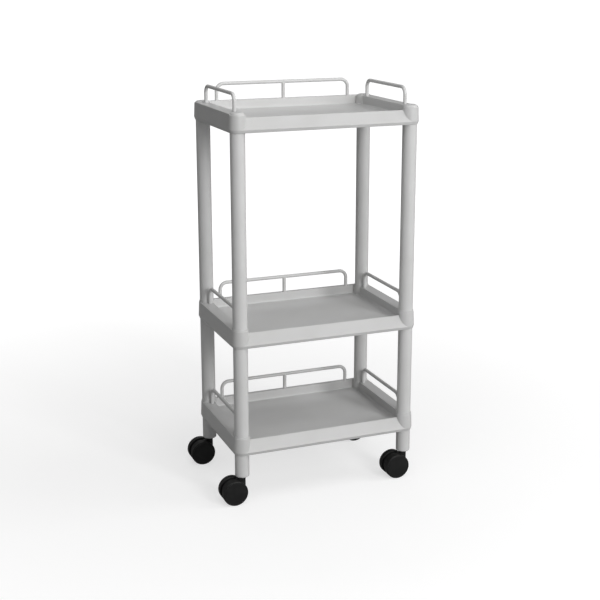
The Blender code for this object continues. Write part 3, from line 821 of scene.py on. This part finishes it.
def build_tubes():
    for name in ("lower", "upper"):
        low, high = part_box(f"post_{name}_front_left")
        mesh = post_mesh(f"{name}_post", high.z - low.z)
        for corner in CORNERS:
            spot = (POST[corner].x, POST[corner].y, low.z)
            piece(f"{name}_post_{corner}", mesh, "frame", [f"post_{name}_{corner}"], "grey_tube", spot)
    low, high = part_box("leg_front_left")
    mesh = leg_mesh(high.z - low.z)
    for corner in CORNERS:
        spot = (POST[corner].x, POST[corner].y, low.z)
        piece(f"{corner}_leg", mesh, "frame", [f"leg_{corner}"], "grey_tube", spot)


# ---------------------------------------------------------------- castors


def wheel_mesh():
    """One wheel about its axle: a domed outer disc with a faint rim step, and a hollow back round its hub."""
    width = WHEEL_WIDTH
    hub, hub_root = WHEEL_HUB
    rim_root, rim = WHEEL_RIM
    hollow = [(hub, 0.0, 0.0), (hub_root, WHEEL_HOLLOW, WHEEL_HOLLOW_EDGE)]
    hollow += [(rim_root, WHEEL_HOLLOW, WHEEL_HOLLOW_EDGE), (rim, 0.0, 0.0)]
    back = [(0.0, WHEEL_BORE_DEPTH), (WHEEL_BORE, WHEEL_BORE_DEPTH), (WHEEL_BORE, 0.0), (hub, 0.0)]
    back += rounded(hollow)[1:]
    step = [(radius, width - drop) for radius, drop in RIM_STEP]
    tread = [(rim, 0.0, 0.0), (WHEEL, 0.0, WHEEL_INNER_EDGE)]
    tread += [(WHEEL, width - TREAD_DROP, WHEEL_SHOULDER), (*step[0], 0.0)]
    shares = [1.0 - i / DOME_STEPS for i in range(DOME_STEPS + 1)]
    dome = [(DOME * share, width - DOME_DROP * share**2) for share in shares]
    mesh = turned("wheel", back + rounded(tread)[1:] + step[1:] + dome, WHEEL_SIDES)
    mesh.transform(Matrix.Rotation(math.radians(-90.0), 4, "X"))
    return mesh


def mirrored(mesh):
    """A copy of the mesh reflected in Y."""
    bm = bmesh.new()
    bm.from_mesh(mesh)
    bmesh.ops.transform(bm, matrix=Matrix.Scale(-1.0, 4, (0.0, 1.0, 0.0)), verts=bm.verts)
    return to_mesh(bm, mesh.name + "_mirrored")


def housing_mesh(trail):
    """The castor's housing: a web with a hood over the axle, a round neck, and bores for stem and axle."""
    axle = (-trail, WHEEL)
    half = NECK - WEB_INSET
    top = NECK_TOP - WEB_SHOULDER
    hood = arc(axle, FENDER, *HOOD_ANGLES, HOOD_STEPS)
    boss = arc(axle, AXLE_BOSS, *AXLE_BOSS_ANGLES, AXLE_BOSS_STEPS)
    outline = [(half, STEM_BOTTOM - WEB_FOOT), (half, top), (-half, top)]
    outline.append((-half - WEB_FLARE[0], top - WEB_FLARE[1]))
    outline += hood + boss
    bm = bmesh.new()
    edge = WEB_EDGE
    centre = (-0.55 * trail, WHEEL + 4.0 * MM)
    rings = []
    for y, inset in ((-WEB_HALF, edge), (-WEB_HALF + edge, 0.0), (WEB_HALF - edge, 0.0), (WEB_HALF, edge)):
        ring = []
        for x, z in outline:
            away = Vector((x - centre[0], z - centre[1]))
            x_in, z_in = Vector((x, z)) - away.normalized() * inset
            ring.append((x_in, y, z_in))
        rings.append(ring)
    loft(bm, rings)
    mesh = to_mesh(bm, "housing")
    collar = bmesh.new()
    corners = [(NECK, STEM_BOTTOM - NECK_FOOT, 0.0), (NECK, NECK_TOP, NECK_EDGE)]
    corners.append((NECK - NECK_FLAT, NECK_TOP, 0.0))
    loft(collar, [circle(r, z, NECK_SIDES) for r, z in rounded(corners)[:-1]])
    mesh = combined(mesh, to_mesh(collar, "neck"), "UNION")
    bore = bmesh.new()
    loft(bore, [circle(STEM_HOLE, z, NECK_SIDES) for z in (STEM_BOTTOM, NECK_TOP + CLEAR)])
    mesh = combined(mesh, to_mesh(bore, "stem_bore"), "DIFFERENCE")
    cross = bmesh.new()
    loft(cross, [circle(AXLE_HOLE, z, AXLE_HOLE_SIDES) for z in (-2.0 * WEB_HALF, 2.0 * WEB_HALF)])
    turn = Matrix.Translation((-trail, 0.0, WHEEL)) @ Matrix.Rotation(math.radians(90.0), 4, "X")
    bmesh.ops.transform(cross, matrix=turn, verts=cross.verts)
    return combined(mesh, to_mesh(cross, "axle_bore"), "DIFFERENCE")


def build_castors():
    aft = wheel_mesh()
    fore = mirrored(aft)
    axle = middle("castor_axle_front_left")
    housing = housing_mesh(POST["front_left"].x - axle.x)
    for corner in CORNERS:
        body = f"castor_{corner}"
        spot = (POST[corner].x, POST[corner].y, FLOOR_Z)
        piece(f"{corner}_castor_body", housing, body, [f"castor_housing_{corner}"], "castor_plastic", spot)
        for side, mesh, sign in (("fore", fore, -1.0), ("aft", aft, 1.0)):
            node = f"castor_wheel_{corner}_{side}"
            centre = middle(node)
            spot = (centre.x, centre.y - sign * WHEEL_WIDTH / 2.0, centre.z)
            moving = f"wheel_{corner}_{side}"
            piece(f"{corner}_{side}_wheel", mesh, moving, [node], "castor_plastic", spot, "castor_wheel")


def finish_kept_nodes():
    """The CAD nodes that stay: sleeves, sockets, stems and axles."""
    slots = {row["node"]: row["material_slot"] for row in frame["record"]["subparts"]}
    for name, obj in frame["nodes"].items():
        if not obj.hide_render:
            obj.data.materials.clear()
            obj.data.materials.append(FINISH[slots[name]])


# ---------------------------------------------------------------- studio


def build_floor():
    """A large pale floor that runs out to white. Only the camera sees its glow, so it lights nothing."""
    bm = bmesh.new()
    bmesh.ops.create_circle(bm, cap_ends=True, segments=96, radius=FLOOR_RADIUS)
    mesh = bpy.data.meshes.new("studio_floor")
    bm.to_mesh(mesh)
    bm.free()
    n = Nodes("studio_floor_finish")
    n.feed(n.shader.inputs["Base Color"], n.blend(n.noise(3.0, 2.0), grey(0.44), grey(0.46)))
    n.shader.inputs["Roughness"].default_value = 0.9
    n.shader.inputs["Specular IOR Level"].default_value = 0.1
    distance = n.add("ShaderNodeVectorMath", operation="LENGTH")
    n.feed(distance.inputs[0], n.place)
    glow = n.ramp(distance.outputs["Value"], *FLOOR_GLOW)
    seen = n.add("ShaderNodeLightPath").outputs["Is Camera Ray"]
    n.shader.inputs["Emission Color"].default_value = grey(1.0)
    n.feed(n.shader.inputs["Emission Strength"], n.math("MULTIPLY", glow, seen))
    mesh.materials.append(n.material)
    floor = bpy.data.objects.new("studio_floor", mesh)
    floor.location.z = FLOOR_Z - 0.1 * MM
    bpy.context.scene.collection.objects.link(floor)


def area_light(name, place, target, size, power):
    data = bpy.data.lights.new(name, "AREA")
    data.shape = "RECTANGLE"
    data.size, data.size_y = size
    data.energy = power
    lamp = bpy.data.objects.new(name, data)
    lamp.location = place
    lamp.rotation_euler = (Vector(target) - Vector(place)).to_track_quat("-Z", "Y").to_euler()
    bpy.context.scene.collection.objects.link(lamp)


def build_world():
    """A white surround for the camera and a dimmer one for the light that it gives."""
    world = bpy.data.worlds.new("studio")
    world.use_nodes = True
    bpy.context.scene.world = world
    tree = world.node_tree
    background = tree.nodes["Background"]
    background.inputs["Color"].default_value = grey(1.0)
    path = tree.nodes.new("ShaderNodeLightPath")
    level = tree.nodes.new("ShaderNodeMapRange")
    tree.links.new(path.outputs["Is Camera Ray"], level.inputs["Value"])
    level.inputs["To Min"].default_value = AMBIENT
    level.inputs["To Max"].default_value = 1.0
    tree.links.new(level.outputs["Result"], background.inputs["Strength"])


def build_camera():
    data = bpy.data.cameras.new("camera")
    data.lens = CAMERA_LENS
    data.shift_x, data.shift_y = CAMERA_SHIFT
    data.clip_end = 500.0
    camera = bpy.data.objects.new("camera", data)
    camera.location = (CENTRE.x + CAMERA_PLACE[0], CENTRE.y + CAMERA_PLACE[1], CAMERA_PLACE[2])
    camera.rotation_euler = (math.radians(90.0 - CAMERA_PITCH), 0.0, math.radians(-CAMERA_YAW))
    bpy.context.scene.collection.objects.link(camera)
    bpy.context.scene.camera = camera


CAMERA_PLACE = (-0.8403, -2.1059, 1.0006)
CAMERA_YAW = 21.78
CAMERA_PITCH = 14.44
CAMERA_LENS = 70.33
CAMERA_SHIFT = (-0.0089, -0.045)
AMBIENT = 0.22
FLOOR_RADIUS = 120.0
# Distance where the floor's glow starts and where it is full, then its strength at each.
FLOOR_GLOW = (0.2, 2.4, 0.62, 1.0)
AIM = (0.0, 0.0, 0.45)
# Each light: its place, the width and height of its panel, and its power in watts.
LIGHTS = {
    "key_light": ((1.1, -3.03, 1.82), (0.5, 1.5), 39.0),
    "front_light": ((0.29, -3.37, 1.36), (1.3, 1.3), 27.0),
    "right_light": ((2.46, -0.9, 2.29), (1.4, 1.4), 23.0),
    "high_light": ((-0.3, -0.6, 1.9), (1.0, 1.0), 5.2),
    "back_light": ((0.5, 2.8, 2.5), (2.0, 1.2), 9.0),
}

build_trays()
build_rails()
build_tubes()
build_castors()
finish_kept_nodes()
build_floor()
build_world()
for light, (place, panel, power) in LIGHTS.items():
    area_light(light, place, AIM, panel, power)
build_camera()
bpy.context.scene.view_settings.view_transform = "Standard"
